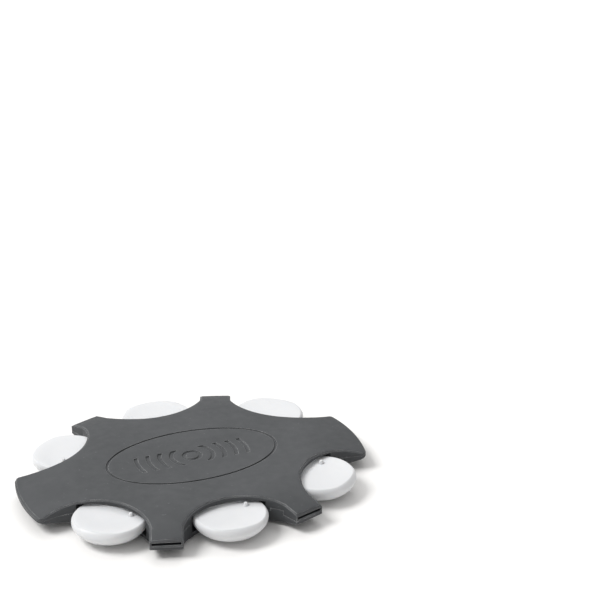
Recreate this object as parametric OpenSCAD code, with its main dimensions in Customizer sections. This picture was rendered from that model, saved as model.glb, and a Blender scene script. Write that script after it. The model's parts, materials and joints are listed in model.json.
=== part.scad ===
// Damper dispenser. A flat six-armed disc made of two moulded shells holds six finger tools in
// pockets. Each tool pulls straight out and carries one small tubular damper on a pin.
// Millimetres. X is the long axis, Z is up, and the origin is under the middle of the base.

/* [Disc] */
// Radius to the rims of the two broad arms
disc_r = 27; // [24:0.5:30]
// Half of the short axis that the domed skin follows
short_r = 23.46; // [20:0.02:26]
// Thickness of the flat middle, both shells together
disc_t = 4.4; // [4.2:0.1:6]
// Share of the radius that stays flat before the skin curves down
flat_share = 0.546; // [0.3:0.002:0.7]
// Drop of each skin from the flat middle to the rim of a broad arm
skin_fall = 1.786; // [1:0.002:1.8]
// Distance from the middle to the cut end face of a narrow arm
cut_r = 22.5; // [20:0.1:25]
// Angle of that end face from the long axis, in degrees
cut_angle = 72.7; // [60:0.1:85]
// Half width of the straight end of a narrow arm
arm_hw = 2.44; // [2.3:0.02:3]

/* [Notches] */
// Radius of the six round notches in the rim
notch_r = 9.43; // [8:0.01:11]
// Centre distance of the two notches on the short axis
notch_y = 23.66; // [22:0.01:26]
// Centre distance of the four side notches
side_notch_d = 26.74; // [25:0.01:29]
// Angle of the side notches from the long axis, in degrees
side_notch_angle = 35.5; // [30:0.5:40]

/* [Edges] */
// Width of the small step around the top edge of the upper shell
step_w = 0.25; // [0.1:0.05:0.4]
// Height of that step
step_h = 0.12; // [0.08:0.02:0.16]
// Radius that rounds the corners of the broad arms in plan
corner_r = 1.1; // [0.3:0.1:1.4]

/* [Oval] */
// Half length of the engraved oval
oval_a = 13.35; // [10:0.05:14]
// Half width of the engraved oval
oval_b = 7.8; // [6:0.05:9]
// Width of the engraved line
line_w = 0.36; // [0.2:0.02:0.6]
// Depth of the engraving
line_d = 0.18; // [0.1:0.02:0.4]

/* [Tools] */
// Radius of a tool's round head
head_r = 5.65; // [5.3:0.05:5.7]
// Half width of the flat stem behind the head
tool_hw = 5.2; // [5:0.05:5.3]
// How far the head draws in below its widest level
under_draw = 1.1; // [0.6:0.05:1.3]
// How far it draws in above that level, at its sides
side_draw = 0.35; // [0.1:0.05:0.5]
// How far it draws in at its tip, up to the crease
over_draw = 0.82; // [0.6:0.02:0.9]
// Length of a tool from its rounded tip to its inner face
tool_len = 13; // [12.5:0.1:13]
// Thickness of a tool
tool_t = 2.3; // [2:0.05:2.3]
// Tip distance from the middle for the two tools on the short axis
tip_y = 22.2; // [22:0.05:22.5]
// Tip position of the side tools along the long axis
side_tip_x = 20.2; // [20:0.05:20.5]
// Tip position of the side tools along the short axis
side_tip_y = 15; // [14.8:0.05:15.2]
// Direction in which the side tools pull out, from the long axis, in degrees
side_pull = 50; // [49:0.5:51]

/* [Dampers] */
// Outer radius of a damper sleeve
damper_r = 0.9; // [0.8:0.05:1]
// Length of a damper sleeve
damper_len = 2.1; // [1.8:0.1:2.2]
// Radius of the pin that the damper sits on
pin_r = 0.45; // [0.35:0.01:0.5]
// Running gap between the pin and the sleeve
pin_gap = 0.05; // [0.02:0.01:0.1]

/* [Hidden] */
mid = disc_t / 2;
skin_rings = 8;
pocket_hh = tool_t / 2 + 0.2;
pocket_len = tool_len + 0.05;
guide_gap = 0.05;
pin_y = 2.6;
pin_len = 1.2;
spike_y = -3.5;
crease_r = 7.8;
dish_r = 5.9;
dish_tip = 2.1;
dish_d = 0.07;
dish_w = 0.35;
head_drop = 0.1;
bulge_steps = 6;
wide_z = 0.5;
stem_start = 8;
mouth_gap = 0.6;
side = [[4.75, -1], [5.05, -0.5], [tool_hw, 0.05], [5.15, 0.55], [5, 1]];
rim_rest = disc_r - corner_r;
notch_rest = notch_r + corner_r;
corner_turn = side_notch_angle
    - acos((pow(rim_rest, 2) + pow(side_notch_d, 2) - pow(notch_rest, 2))
           / (2 * rim_rest * side_notch_d));
corner_c = [rim_rest * cos(corner_turn), rim_rest * sin(corner_turn)];
corner_rim = [cos(corner_turn), sin(corner_turn)];
corner_notch = [(side_notch_d * cos(side_notch_angle) - corner_c[0]) / notch_rest,
                (side_notch_d * sin(side_notch_angle) - corner_c[1]) / notch_rest];
arm_mid = [side_notch_d * cos(side_notch_angle) / 2,
           (notch_y + side_notch_d * sin(side_notch_angle)) / 2];
arm_turn = atan2(side_notch_d * cos(side_notch_angle),
                 notch_y - side_notch_d * sin(side_notch_angle));
tool_turn = [270, 360 - side_pull, side_pull, 90, 180 - side_pull, 180 + side_pull];
tool_tip = [[0, -tip_y], [side_tip_x, -side_tip_y], [side_tip_x, side_tip_y],
            [0, tip_y], [-side_tip_x, side_tip_y], [-side_tip_x, -side_tip_y]];
shell_rgb = [0.36, 0.37, 0.38];
tool_rgb = [0.94, 0.95, 0.96];
sleeve_rgb = [0.96, 0.96, 0.95];
mesh_rgb = [0.30, 0.30, 0.32];

function fall(p) = skin_fall * pow((p - flat_share) / (1 - flat_share), 2);
function ring(i) = flat_share + (1.03 - flat_share) * i / skin_rings;

// One half of the disc: flat middle, then the skin curves down. The middle stands a hair proud
// here and blank() cuts it to a true plane, as it cuts the underside at the parting plane.
module dome() {
    scale([disc_r, short_r, 1])
        rotate_extrude($fn = 96)
            polygon(concat([[0, -0.5], [0, mid + 0.02], [flat_share - 0.03, mid + 0.02]],
                           [for (i = [1:skin_rings]) [ring(i), mid - fall(ring(i))]],
                           [[1.03, -0.5]]));
}

// The six round notches and the flat ends of the narrow arms, as one cutter, drawn in by d.
module edge_cuts(d) {
    difference() {
        union() {
            for (s = [-1, 1])
                translate([0, s * notch_y, -mid - 1])
                    cylinder(r = notch_r + d, h = disc_t + 2, $fn = 96);
            for (a = [side_notch_angle, 180 - side_notch_angle,
                      180 + side_notch_angle, -side_notch_angle])
                rotate([0, 0, a])
                    translate([side_notch_d, 0, -mid - 1])
                        cylinder(r = notch_r + d, h = disc_t + 2, $fn = 96);
        }
        at_arms()
            translate([-4, d - arm_hw, -mid - 2])
                cube([8, 2 * (arm_hw - d), disc_t + 4]);
    }
    for (a = [cut_angle, 180 - cut_angle, 180 + cut_angle, -cut_angle])
        rotate([0, 0, a])
            translate([cut_r - d, -9, -mid - 1])
                cube([9, 18, disc_t + 2]);
}

// Cutters that round the corners where a broad arm's rim meets the notches.
module corner_cuts() {
    for (sx = [0, 1])
        for (sy = [0, 1])
            mirror([sx, 0, 0])
                mirror([0, sy, 0])
                    translate([corner_c[0], corner_c[1], -mid - 1])
                        difference() {
                            linear_extrude(height = disc_t + 2)
                                polygon([[0, 0],
                                         1.4 * corner_r * corner_rim,
                                         2.4 * corner_r * (corner_rim + corner_notch),
                                         1.4 * corner_r * corner_notch]);
                            translate([0, 0, -1])
                                cylinder(r = corner_r, h = disc_t + 4, $fn = 48);
                        }
}

module blank(inset, drop) {
    difference() {
        intersection() {
            translate([0, 0, -drop])
                dome();
            cylinder(r = disc_r - inset, h = mid - drop, $fn = 192);
        }
        edge_cuts(inset);
        corner_cuts();
    }
}

module at_tool(i) {
    translate([tool_tip[i][0], tool_tip[i][1], 0])
        rotate([0, 0, tool_turn[i]])
            children();
}

// Places its child in each narrow arm, with +X out along the arm.
module at_arms() {
    for (sx = [0, 1])
        for (sy = [0, 1])
            mirror([sx, 0, 0])
                mirror([0, sy, 0])
                    translate([arm_mid[0], arm_mid[1], 0])
                        rotate([0, 0, arm_turn])
                            children();
}

// A tool's pocket with its guides, the bay for the damper and the bay for the spike.
module pocket() {
    difference() {
        translate([-pocket_len, -tool_hw - guide_gap, -pocket_hh])
            cube([pocket_len + 2, 2 * (tool_hw + guide_gap), 2 * pocket_hh]);
        for (y = [-4.8, 4.2])
            for (z = [-pocket_hh - 1, tool_t / 2 + guide_gap])
                translate([-pocket_len - 1, y, z])
                    cube([5.2, 0.6, pocket_hh - tool_t / 2 - guide_gap + 1]);
    }
    translate([-8.8, -tool_hw - mouth_gap, -pocket_hh])
        cube([10, 2 * (tool_hw + mouth_gap), 2 * pocket_hh]);
    translate([-16.7, pin_y - 1.2, -1.15])
        cube([3.8, 2.4, 2.3]);
    translate([-14.8, spike_y - 0.65, -0.65])
        cube([1.9, 1.3, 1.3]);
}

module pockets() {
    for (i = [0:5])
        at_tool(i)
            pocket();
}

// Hollow ring around the middle post, in the half above the parting plane.
module core_ring() {
    difference() {
        translate([0, 0, -1])
            cylinder(r = 4.3, h = 1 + mid - 0.9, $fn = 64);
        translate([0, 0, -2])
            cylinder(r = 2.1, h = 6, $fn = 64);
    }
}

module at_pins() {
    children();
    for (s = [-1, 1])
        translate([s * 21.5, 0, 0])
            children();
    at_arms()
        translate([-5.6, 0, 0])
            children();
}

// Blocks that step the parting line in the narrow arms.
module arm_block(u0, u1, z0, z1) {
    difference() {
        at_arms()
            translate([u0, -4, z0])
                cube([u1 - u0, 8, z1 - z0]);
        edge_cuts(0);
    }
}

// Slots in the flat end faces of the narrow arms.
module end_slots() {
    for (sx = [0, 1])
        for (sy = [0, 1])
            mirror([sx, 0, 0])
                mirror([0, sy, 0])
                    rotate([0, 0, cut_angle])
                        translate([cut_r - 0.8, -4.6 - 2.15, -0.04])
                            cube([2, 4.3, 0.42]);
}

module oval_line() {
    difference() {
        linear_extrude(height = 1)
            scale([oval_a + line_w / 2, oval_b + line_w / 2])
                circle(r = 1, $fn = 120);
        translate([0, 0, -1])
            linear_extrude(height = 3)
                scale([oval_a - line_w / 2, oval_b - line_w / 2])
                    circle(r = 1, $fn = 120);
    }
}

// A plain pattern of a ring between two sets of arcs.
module wave_motif() {
    difference() {
        cylinder(r = 1.55, h = 1, $fn = 48);
        translate([0, 0, -1])
            cylinder(r = 0.95, h = 3, $fn = 48);
    }
    for (s = [-1, 1])
        for (r = [3.2, 5, 6.8, 8.6])
            intersection() {
                difference() {
                    cylinder(r = r + 0.3, h = 1, $fn = 96);
                    translate([0, 0, -1])
                        cylinder(r = r - 0.3, h = 3, $fn = 96);
                }
                translate([s * 6 - 5, -2.4, -1])
                    cube([10, 4.8, 3]);
            }
}

module upper_shell() {
    color(shell_rgb)
        translate([0, 0, mid]) {
            difference() {
                union() {
                    blank(step_w, 0);
                    blank(0, step_h);
                }
                pockets();
                core_ring();
                at_pins()
                    translate([0, 0, -1])
                        cylinder(r = 0.82, h = 1.8, $fn = 32);
                arm_block(-4.4, -2.4, -1, 0.4);
                end_slots();
                translate([0, 0, mid - line_d]) {
                    oval_line();
                    wave_motif();
                }
            }
            difference() {
                arm_block(-2.4, 3, -0.3, 0.05);
                end_slots();
            }
        }
}

module lower_shell() {
    color(shell_rgb)
        translate([0, 0, mid]) {
            difference() {
                mirror([0, 0, 1])
                    blank(0, 0);
                pockets();
                mirror([0, 0, 1])
                    core_ring();
                arm_block(-2.4, 3, -0.3, 1);
            }
            difference() {
                arm_block(-4.4, -2.4, -0.05, 0.4);
                pockets();
            }
            at_pins()
                translate([0, 0, -0.1])
                    cylinder(r = 0.8, h = 0.8, $fn = 32);
        }
}

// Flat stem with the tool's cross-section: widest near its middle level, narrower at the faces.
module stem() {
    rotate([90, 0, 90])
        translate([0, 0, -tool_len])
            linear_extrude(height = tool_len - stem_start)
                polygon(concat([for (p = side) [p[0], p[1] * tool_t / 2]],
                               [for (i = [len(side) - 1:-1:0]) [-side[i][0], side[i][1] * tool_t / 2]]));
}

// Round head with a bulging wall.
module head() {
    translate([-head_r, 0, 0])
        rotate_extrude($fn = 128)
            polygon(concat([[0, -tool_t / 2]],
                           [for (i = [bulge_steps:-1:0])
                               [head_r - under_draw * pow(i / bulge_steps, 2),
                                wide_z - (tool_t / 2 + wide_z) * i / bulge_steps]],
                           [for (i = [1:bulge_steps])
                               [head_r - side_draw * pow(i / bulge_steps, 2),
                                wide_z + (tool_t / 2 - wide_z) * i / bulge_steps]],
                           [[0, tool_t / 2]]));
}

// Larger round block whose wall leans in towards the top, where it leaves the crease.
module crease_block() {
    translate([-crease_r - over_draw, 0, 0])
        rotate_extrude($fn = 128)
            polygon(concat([[0, -tool_t], [crease_r + over_draw, -tool_t]],
                           [for (i = [0:bulge_steps])
                               [crease_r + over_draw * (1 - pow(i / bulge_steps, 2)),
                                (tool_t / 2 + 0.1) * i / bulge_steps]],
                           [[0, tool_t / 2 + 0.1]]));
}

// Shallow dish in the head's top, which leaves a raised crescent around the rounded end.
module dish() {
    translate([-dish_tip - dish_r, 0, tool_t / 2 - dish_d])
        cylinder(r1 = dish_r - dish_w, r2 = dish_r - dish_w + dish_w / dish_d, h = 1, $fn = 96);
}

module tool_body() {
    stem();
    translate([0, 0, -head_drop])
        difference() {
            intersection() {
                head();
                crease_block();
            }
            dish();
        }
}

module tool_local() {
    difference() {
        union() {
            tool_body();
            for (x = [-9.4, -10.8])
                translate([x, 3.8, tool_t / 2 - 0.23])
                    rotate([90, 0, 0])
                        cylinder(r = 0.35, h = 7.6, $fn = 24);
        }
        translate([-11.5, -0.8, -2])
            cylinder(r = 1.35, h = 4, $fn = 48);
        translate([-13.5, -1.6, -2])
            cube([2, 1.6, 4]);
    }
    difference() {
        translate([-12.35, 0.15, -0.8])
            cylinder(r = 0.55, h = 1.6, $fn = 32);
        translate([-12.35, 0.15, -2])
            cylinder(r = 0.25, h = 4, $fn = 32);
    }
    translate([-6.8, 2.9, tool_t / 2 - 0.4])
        cylinder(r1 = 0.5, r2 = 0.24, h = 0.7, $fn = 24);
    translate([-0.9, -0.25, -0.85])
        cube([0.5, 0.5, 0.3]);
    translate([-tool_len - pin_len, pin_y, 0])
        rotate([0, 90, 0])
            cylinder(r = pin_r, h = pin_len + 0.2, $fn = 32);
    translate([-tool_len - 1.6, spike_y, 0])
        rotate([0, 90, 0])
            cylinder(r1 = 0.12, r2 = 0.5, h = 1.8, $fn = 32);
}

module tool(i) {
    color(tool_rgb)
        translate([0, 0, mid])
            at_tool(i)
                tool_local();
}

// A damper's own frame: +X points to its free end, the open end rests near the tool's face.
module at_damper(i) {
    translate([0, 0, mid])
        at_tool(i)
            translate([-tool_len - 0.1, pin_y, 0])
                rotate([0, -90, 0])
                    children();
}

module damper_sleeve(i) {
    color(sleeve_rgb)
        at_damper(i)
            difference() {
                cylinder(r = damper_r, h = damper_len, $fn = 48);
                translate([0, 0, -1])
                    cylinder(r = pin_r + pin_gap, h = damper_len + 2, $fn = 48);
                translate([0, 0, damper_len - 0.5])
                    cylinder(r = 0.7, h = 1, $fn = 48);
            }
}

module damper_mesh(i) {
    color(mesh_rgb)
        at_damper(i)
            translate([0, 0, damper_len - 0.5])
                cylinder(r = 0.7, h = 0.15, $fn = 48);
}

upper_shell();
lower_shell();
tool(0);  // tool_1
tool(1);  // tool_2
tool(2);  // tool_3
tool(3);  // tool_4
tool(4);  // tool_5
tool(5);  // tool_6
damper_sleeve(0);  // damper_sleeve_1
damper_sleeve(1);  // damper_sleeve_2
damper_sleeve(2);  // damper_sleeve_3
damper_sleeve(3);  // damper_sleeve_4
damper_sleeve(4);  // damper_sleeve_5
damper_sleeve(5);  // damper_sleeve_6
damper_mesh(0);  // damper_mesh_1
damper_mesh(1);  // damper_mesh_2
damper_mesh(2);  // damper_mesh_3
damper_mesh(3);  // damper_mesh_4
damper_mesh(4);  // damper_mesh_5
damper_mesh(5);  // damper_mesh_6
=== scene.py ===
import json
import math

import bpy
from mathutils import Matrix, Vector

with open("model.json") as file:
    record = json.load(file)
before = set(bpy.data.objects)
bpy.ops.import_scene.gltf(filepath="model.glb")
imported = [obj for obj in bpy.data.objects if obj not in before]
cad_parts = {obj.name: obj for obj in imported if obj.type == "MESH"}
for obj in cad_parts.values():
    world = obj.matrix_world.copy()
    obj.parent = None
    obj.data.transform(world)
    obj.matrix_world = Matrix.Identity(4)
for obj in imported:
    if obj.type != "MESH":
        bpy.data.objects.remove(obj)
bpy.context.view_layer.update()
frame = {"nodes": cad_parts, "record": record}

# ---------------------------------------------------------------- sizes, in metres
WELD_REACH = 0.000002
EDGE_WIDTH = 0.00005
EDGE_SEGMENTS = 3
SHELL_EDGE_RADIUS = 0.00019
TOOL_EDGE_RADIUS = 0.0003
GROOVE_REACH = 0.0005
FLOOR_SIZE = 4.0
FLOOR_DROP = 0.00002

# ---------------------------------------------------------------- angles, in degrees
EDGE_ANGLE = 36.0
SMOOTH_ANGLE = 34.0
CAMERA_ROLL = -0.5

# ---------------------------------------------------------------- colours, in linear RGB
SHELL_DARK = (0.056, 0.059, 0.062)
SHELL_LIGHT = (0.073, 0.076, 0.080)
SHELL_FLECK = (0.16, 0.165, 0.17)
# Painted highlight for the shell's edges.
SHELL_PAINTED_EDGE_HIGHLIGHT = (0.50, 0.505, 0.51)
# Painted shade for the shell's grooves.
SHELL_PAINTED_GROOVE_SHADE = (0.016, 0.017, 0.018)
TOOL_DULL = (0.69, 0.698, 0.71)
TOOL_BRIGHT = (0.72, 0.725, 0.735)
# Painted shade for the tools' edges.
TOOL_PAINTED_EDGE_SHADE = (0.60, 0.605, 0.615)
SLEEVE_DULL = (0.84, 0.84, 0.82)
SLEEVE_BRIGHT = (0.9, 0.9, 0.88)
FLOOR_WHITE = (0.94, 0.93, 0.915)

# ---------------------------------------------------------------- camera and lights
CAMERA_PLACE = Vector((-0.09197, -0.27284, 0.16103))
CAMERA_DIRECTION = Vector((0.34022, 0.84424, -0.41414))
CAMERA_LENS_MM = 128.44
SENSOR_WIDTH_MM = 36.0
WORLD_STRENGTH = 0.5
KEY_PLACE = Vector((-0.80, 0.28, 1.02))
KEY_SIZE = 0.62
KEY_POWER = 13.0
BACK_PLACE = Vector((0.12, 0.42, 0.50))
BACK_SIZE = 0.5
BACK_POWER = 1.2

# Colour sockets of a Mix node, which share their names with its number and vector sockets.
MIX_COLOUR_A = 6
MIX_COLOUR_B = 7
MIX_COLOUR_RESULT = 2


# ---------------------------------------------------------------- node helpers
def new_material(name):
    mat = bpy.data.materials.new(name)
    mat.use_nodes = True
    tree = mat.node_tree
    tree.nodes.clear()
    out = tree.nodes.new("ShaderNodeOutputMaterial")
    bsdf = tree.nodes.new("ShaderNodeBsdfPrincipled")
    tree.links.new(bsdf.outputs["BSDF"], out.inputs["Surface"])
    return mat, tree, bsdf


def link(tree, source, target):
    tree.links.new(source, target)


def noise(tree, vector, scale, detail=4.0, rough=0.55):
    node = tree.nodes.new("ShaderNodeTexNoise")
    node.inputs["Scale"].default_value = scale
    node.inputs["Detail"].default_value = detail
    node.inputs["Roughness"].default_value = rough
    link(tree, vector, node.inputs["Vector"])
    return node.outputs["Fac"]


def ramp(tree, fac, first, last, low=0.3, high=0.7):
    """Colour that goes from the first to the last while the factor goes from low to high."""
    node = tree.nodes.new("ShaderNodeValToRGB")
    start, end = node.color_ramp.elements
    start.position = low
    start.color = (*first, 1.0)
    end.position = high
    end.color = (*last, 1.0)
    link(tree, fac, node.inputs["Fac"])
    return node.outputs["Color"]


def grey(level):
    return (level, level, level)


def bump(tree, height, strength, distance, normal=None):
    node = tree.nodes.new("ShaderNodeBump")
    node.inputs["Strength"].default_value = strength
    node.inputs["Distance"].default_value = distance
    link(tree, height, node.inputs["Height"])
    if normal is not None:
        link(tree, normal, node.inputs["Normal"])
    return node.outputs["Normal"]


def mix_colour(tree, fac, under, over):
    """The colour over, laid on the colour under where the factor is 1."""
    node = tree.nodes.new("ShaderNodeMix")
    node.data_type = "RGBA"
    link(tree, fac, node.inputs["Factor"])
    link(tree, under, node.inputs[MIX_COLOUR_A])
    node.inputs[MIX_COLOUR_B].default_value = (*over, 1.0)
    return node.outputs[MIX_COLOUR_RESULT]


def product(tree, one, other):
    node = tree.nodes.new("ShaderNodeMath")
    node.operation = "MULTIPLY"
    link(tree, one, node.inputs[0])
    link(tree, other, node.inputs[1])
    return node.outputs["Value"]


def object_coords(tree):
    return tree.nodes.new("ShaderNodeTexCoord").outputs["Object"]


def rounded_edges(tree, radius, full, none):
    """Normal with soft edges, and a mask that is 1 on an edge and 0 on a plain face."""
    edge = tree.nodes.new("ShaderNodeBevel")
    edge.samples = 8
    edge.inputs["Radius"].default_value = radius
    plain = tree.nodes.new("ShaderNodeNewGeometry")
    dot = tree.nodes.new("ShaderNodeVectorMath")
    dot.operation = "DOT_PRODUCT"
    link(tree, edge.outputs["Normal"], dot.inputs[0])
    link(tree, plain.outputs["Normal"], dot.inputs[1])
    mask = ramp(tree, dot.outputs["Value"], grey(1.0), grey(0.0), low=full, high=none)
    return edge.outputs["Normal"], mask


def occlusion_shade_mask(tree, distance):
    """Ambient-occlusion mask for painted shade: 1 deep in a groove, where shade falls, and 0 on an
    open face.
    """
    node = tree.nodes.new("ShaderNodeAmbientOcclusion")
    node.samples = 8
    node.only_local = True
    node.inputs["Distance"].default_value = distance
    return ramp(tree, node.outputs["AO"], grey(1.0), grey(0.0), low=0.35, high=0.85)


def stripes(tree, vector, axis):
    node = tree.nodes.new("ShaderNodeTexWave")
    node.bands_direction = axis
    node.inputs["Scale"].default_value = 3000.0
    link(tree, vector, node.inputs["Vector"])
    return node.outputs["Fac"]


# ---------------------------------------------------------------- materials
def shell_material():
    """Dark matte plastic with a fine grain and light flecks, a painted highlight in patches along
    its edges and painted shade in its grooves.
    """
    mat, tree, bsdf = new_material("shell_matte_plastic")
    co = object_coords(tree)
    normal, edge = rounded_edges(tree, SHELL_EDGE_RADIUS, full=0.86, none=0.985)
    cloud = noise(tree, co, scale=95.0, detail=5.0, rough=0.6)
    tone = ramp(tree, cloud, SHELL_DARK, SHELL_LIGHT)
    speck = noise(tree, co, scale=2300.0, detail=1.0, rough=0.4)
    fleck = ramp(tree, speck, grey(0.0), grey(0.5), low=0.74, high=0.80)
    flecked = mix_colour(tree, fleck, tone, SHELL_FLECK)
    patchy = noise(tree, co, scale=520.0, detail=3.0)
    highlight_patches = ramp(tree, patchy, grey(0.35), grey(1.0), low=0.35, high=0.65)
    # Painted highlight along every edge, made patchy by noise.
    edge_highlighted = mix_colour(tree, product(tree, edge, highlight_patches), flecked, SHELL_PAINTED_EDGE_HIGHLIGHT)
    # Painted shade deep in grooves and gaps, taken from ambient occlusion.
    shaded = mix_colour(tree, occlusion_shade_mask(tree, GROOVE_REACH), edge_highlighted, SHELL_PAINTED_GROOVE_SHADE)
    link(tree, shaded, bsdf.inputs["Base Color"])
    rough = ramp(tree, noise(tree, co, scale=700.0), grey(0.48), grey(0.60))
    link(tree, rough, bsdf.inputs["Roughness"])
    bsdf.inputs["Specular IOR Level"].default_value = 0.25
    grain = noise(tree, co, scale=4200.0, detail=3.0, rough=0.6)
    ripple = noise(tree, co, scale=260.0, detail=2.0)
    soft = bump(tree, ripple, strength=0.25, distance=0.00005, normal=normal)
    surface = bump(tree, grain, strength=0.4, distance=0.00002, normal=soft)
    link(tree, surface, bsdf.inputs["Normal"])
    return mat


def tool_material():
    """White satin plastic that lets some light in, with painted shade along its edges."""
    mat, tree, bsdf = new_material("tool_satin_plastic")
    co = object_coords(tree)
    cloud = noise(tree, co, scale=120.0, detail=3.0)
    colour = ramp(tree, cloud, TOOL_DULL, TOOL_BRIGHT)
    normal, edge = rounded_edges(tree, TOOL_EDGE_RADIUS, full=0.93, none=0.998)
    # Painted shade along the edges of the tool.
    edge_shaded = mix_colour(tree, edge, colour, TOOL_PAINTED_EDGE_SHADE)
    link(tree, edge_shaded, bsdf.inputs["Base Color"])
    rough = ramp(tree, noise(tree, co, scale=900.0), grey(0.34), grey(0.42))
    link(tree, rough, bsdf.inputs["Roughness"])
    bsdf.inputs["IOR"].default_value = 1.5
    bsdf.inputs["Subsurface Weight"].default_value = 0.6
    bsdf.inputs["Subsurface Radius"].default_value = (1.0, 0.95, 0.9)
    bsdf.inputs["Subsurface Scale"].default_value = 0.0008
    fine = noise(tree, co, scale=3600.0, detail=2.0, rough=0.6)
    surface = bump(tree, fine, strength=0.15, distance=0.00001, normal=normal)
    link(tree, surface, bsdf.inputs["Normal"])
    return mat


def sleeve_material():
    """Off-white plastic of a damper's tube."""
    mat, tree, bsdf = new_material("sleeve_plastic")
    co = object_coords(tree)
    colour = ramp(tree, noise(tree, co, scale=900.0), SLEEVE_DULL, SLEEVE_BRIGHT)
    link(tree, colour, bsdf.inputs["Base Color"])
    rough = ramp(tree, noise(tree, co, scale=2500.0), grey(0.3), grey(0.42))
    link(tree, rough, bsdf.inputs["Roughness"])
    surface = bump(tree, noise(tree, co, scale=6000.0), strength=0.15, distance=0.00001)
    link(tree, surface, bsdf.inputs["Normal"])
    return mat


def mesh_material():
    """Dark weave of a damper's mesh disc, made by two sets of stripes that cross."""
    mat, tree, bsdf = new_material("woven_damper_mesh")
    co = object_coords(tree)
    weave = product(tree, stripes(tree, co, "X"), stripes(tree, co, "Z"))
    colour = ramp(tree, weave, grey(0.05), grey(0.3), low=0.1, high=0.8)
    link(tree, colour, bsdf.inputs["Base Color"])
    bsdf.inputs["Roughness"].default_value = 0.6
    link(tree, bump(tree, weave, strength=0.5, distance=0.00004), bsdf.inputs["Normal"])
    return mat


MATERIALS = {
    "shell": shell_material(),
    "tool": tool_material(),
    "sleeve": sleeve_material(),
    "mesh": mesh_material(),
}


# ---------------------------------------------------------------- CAD nodes
def edge_group(name, angle):
    """Geometry nodes that shade a mesh smooth except at edges sharper than the angle."""
    group = bpy.data.node_groups.new(name, "GeometryNodeTree")
    group.interface.new_socket("Geometry", in_out="INPUT", socket_type="NodeSocketGeometry")
    group.interface.new_socket("Geometry", in_out="OUTPUT", socket_type="NodeSocketGeometry")
    new = group.nodes.new
    start, end = new("NodeGroupInput"), new("NodeGroupOutput")
    faces, edges = new("GeometryNodeSetShadeSmooth"), new("GeometryNodeSetShadeSmooth")
    faces.domain = "FACE"
    edges.domain = "EDGE"
    bend, less = new("GeometryNodeInputMeshEdgeAngle"), new("FunctionNodeCompare")
    less.data_type = "FLOAT"
    less.operation = "LESS_EQUAL"
    less.inputs[1].default_value = math.radians(angle)
    group.links.new(bend.outputs["Unsigned Angle"], less.inputs[0])
    group.links.new(start.outputs[0], faces.inputs["Geometry"])
    group.links.new(faces.outputs[0], edges.inputs["Geometry"])
    group.links.new(less.outputs["Result"], edges.inputs["Shade Smooth"])
    group.links.new(edges.outputs[0], end.inputs[0])
    return group


SMOOTH = edge_group("smooth_by_angle", SMOOTH_ANGLE)


def weld(obj):
    mod = obj.modifiers.new("weld", "WELD")
    mod.merge_threshold = WELD_REACH


def bevel(obj):
    mod = obj.modifiers.new("edge", "BEVEL")
    mod.width = EDGE_WIDTH
    mod.segments = EDGE_SEGMENTS
    mod.limit_method = "ANGLE"
    mod.angle_limit = math.radians(EDGE_ANGLE)
    mod.use_clamp_overlap = False


def smooth(obj):
    obj.modifiers.new("smooth", "NODES").node_group = SMOOTH


def flat_faces(obj):
    """Large faces keep their own normal, so the shading turns only on the narrow edge faces."""
    mod = obj.modifiers.new("flat_faces", "WEIGHTED_NORMAL")
    mod.keep_sharp = True


def dress(obj, slot):
    """A node's one material, and the modifiers that soften its edges."""
    obj.data.materials.clear()
    obj.data.materials.append(MATERIALS[slot])
    obj.data.polygons.foreach_set("material_index", [0] * len(obj.data.polygons))
    weld(obj)
    if slot == "shell":
        bevel(obj)
    smooth(obj)
    if slot == "shell":
        flat_faces(obj)


for entry in frame["record"]["subparts"]:
    dress(frame["nodes"][entry["node"]], entry["material_slot"])


# ---------------------------------------------------------------- stage
def add_floor():
    """White floor just under the disc, clear from below so that the underside can be looked at."""
    bpy.ops.mesh.primitive_plane_add(size=FLOOR_SIZE, location=(0, 0, -FLOOR_DROP))
    floor = bpy.context.object
    floor.name = "floor"
    mat, tree, bsdf = new_material("floor_white")
    bsdf.inputs["Base Color"].default_value = (*FLOOR_WHITE, 1.0)
    bsdf.inputs["Roughness"].default_value = 0.9
    clear = tree.nodes.new("ShaderNodeBsdfTransparent")
    side = tree.nodes.new("ShaderNodeNewGeometry")
    mix = tree.nodes.new("ShaderNodeMixShader")
    link(tree, side.outputs["Backfacing"], mix.inputs[0])
    link(tree, bsdf.outputs["BSDF"], mix.inputs[1])
    link(tree, clear.outputs["BSDF"], mix.inputs[2])
    link(tree, mix.outputs[0], tree.nodes["Material Output"].inputs["Surface"])
    floor.data.materials.append(mat)


def area_light(name, place, size, power):
    """Square light that points at the middle of the disc's base."""
    data = bpy.data.lights.new(name, "AREA")
    data.energy = power
    data.size = size
    obj = bpy.data.objects.new(name, data)
    bpy.context.scene.collection.objects.link(obj)
    obj.location = place
    obj.rotation_euler = (-place).to_track_quat("-Z", "Y").to_euler()


def add_world():
    world = bpy.data.worlds.new("studio")
    bpy.context.scene.world = world
    world.use_nodes = True
    background = world.node_tree.nodes["Background"]
    background.inputs["Color"].default_value = (1, 1, 1, 1)
    background.inputs["Strength"].default_value = WORLD_STRENGTH


def add_camera():
    """Camera placed so that the disc lies in the picture as it does in the photo."""
    data = bpy.data.cameras.new("camera")
    cam = bpy.data.objects.new("camera", data)
    bpy.context.scene.collection.objects.link(cam)
    data.sensor_width = SENSOR_WIDTH_MM
    data.lens = CAMERA_LENS_MM
    data.clip_start = 0.01
    data.clip_end = 20.0
    aim = CAMERA_DIRECTION.to_track_quat("-Z", "Y").to_matrix().to_4x4()
    roll = Matrix.Rotation(math.radians(CAMERA_ROLL), 4, "Z")
    cam.matrix_world = Matrix.Translation(CAMERA_PLACE) @ aim @ roll
    bpy.context.scene.camera = cam


bpy.context.scene.view_settings.view_transform = "Standard"
add_floor()
add_world()
add_camera()
area_light("key_left", KEY_PLACE, KEY_SIZE, KEY_POWER)
area_light("top_back", BACK_PLACE, BACK_SIZE, BACK_POWER)
